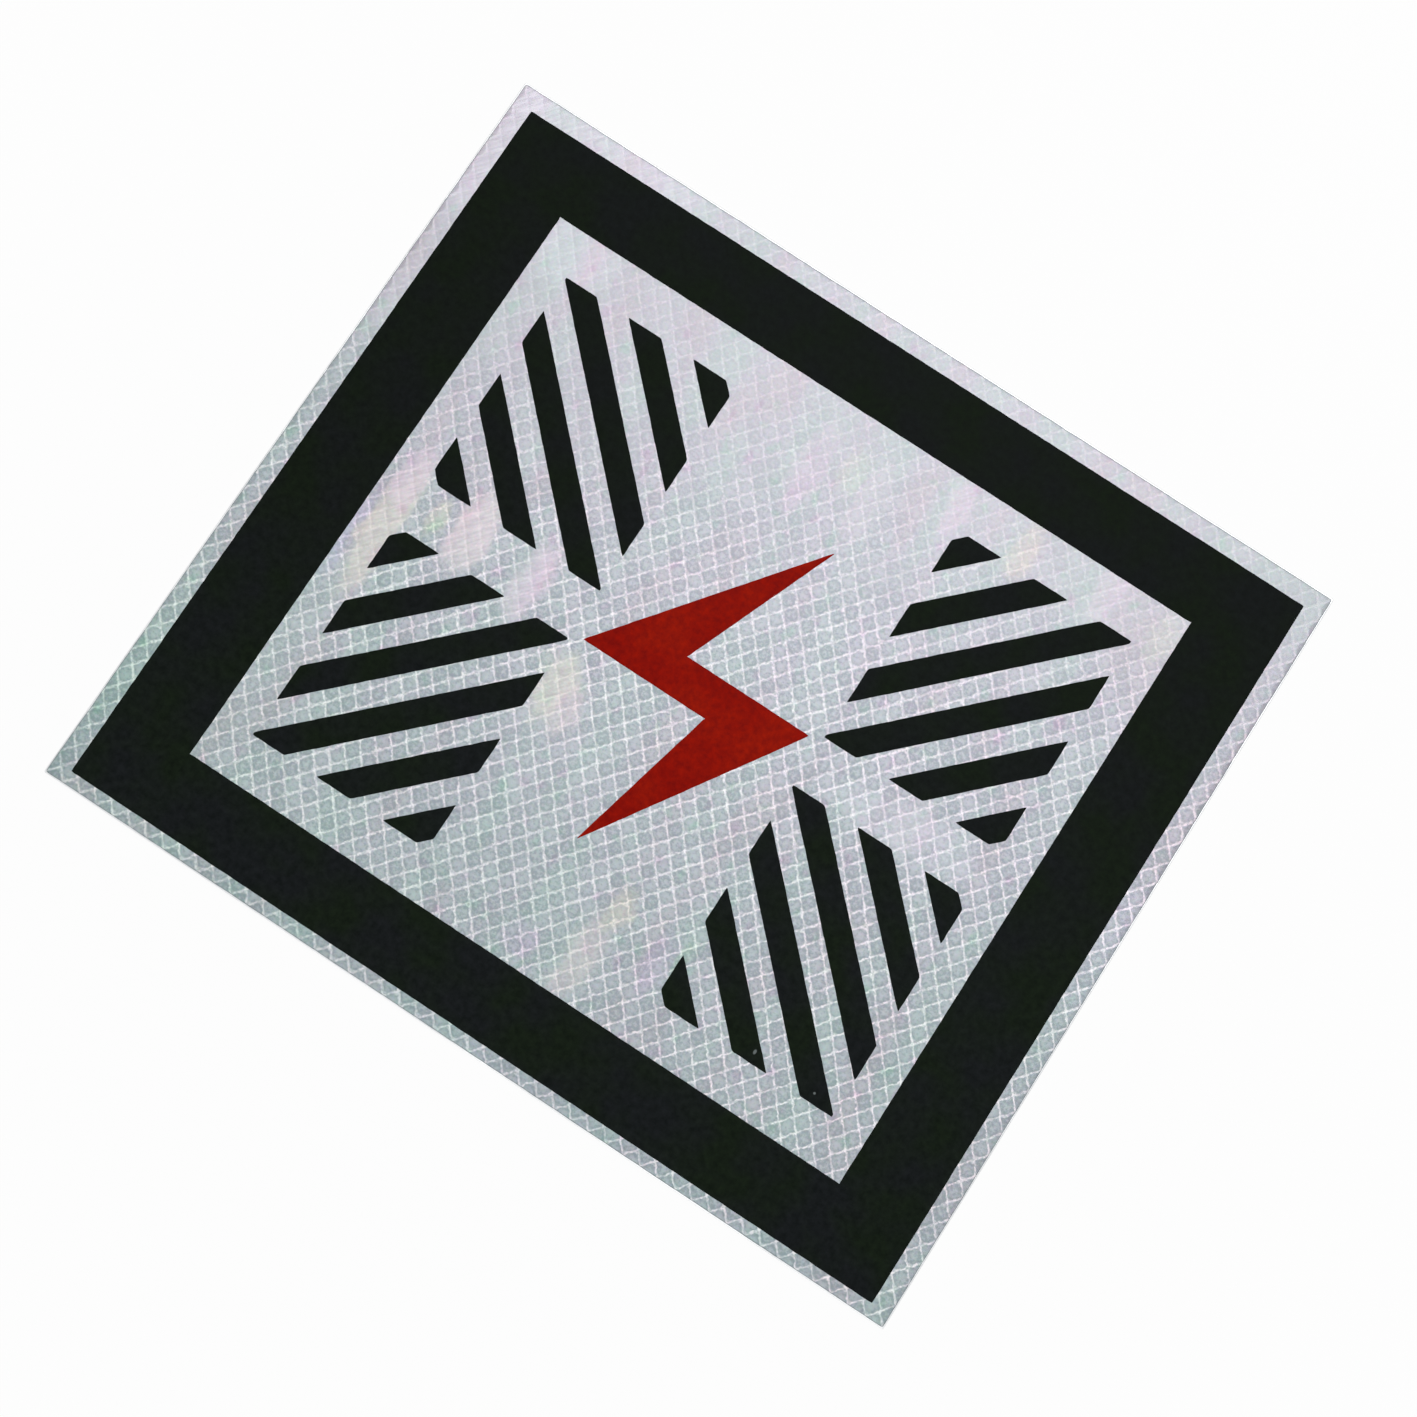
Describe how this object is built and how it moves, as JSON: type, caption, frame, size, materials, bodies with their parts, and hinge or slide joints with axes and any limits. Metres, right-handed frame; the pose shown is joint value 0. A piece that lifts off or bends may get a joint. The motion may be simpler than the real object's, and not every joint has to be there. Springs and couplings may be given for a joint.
{
  "type": "high voltage warning sign",
  "caption": "Flat rectangular warning sign: aluminium plate with silver reflective sheeting, a black border, a red lightning bolt and plain black hazard stripe panels.",
  "frame": {"origin": "middle of the plate's back face, which the sign lies on", "axes": "+X along the sign's reading direction, to the right; +Y towards the sign's top; +Z out of its face"},
  "size_m": [0.3, 0.26, 0.002],
  "materials": {
    "aluminium_plate": "mill finish sheet",
    "reflective_sheeting": "clear prismatic sheeting with pale sealed diamond lattice and soft iridescence",
    "black_film": "opaque satin black film",
    "red_film": "deep red film"
  },
  "bodies": {
    "root": {"backing_plate": "aluminium_plate", "reflective_sheeting": "reflective_sheeting", "border": "black_film", "lightning_bolt": "red_film", "stripes_top_left": "black_film", "stripes_top_right": "black_film", "stripes_bottom_left": "black_film", "stripes_bottom_right": "black_film"}
  },
  "joints": []
}
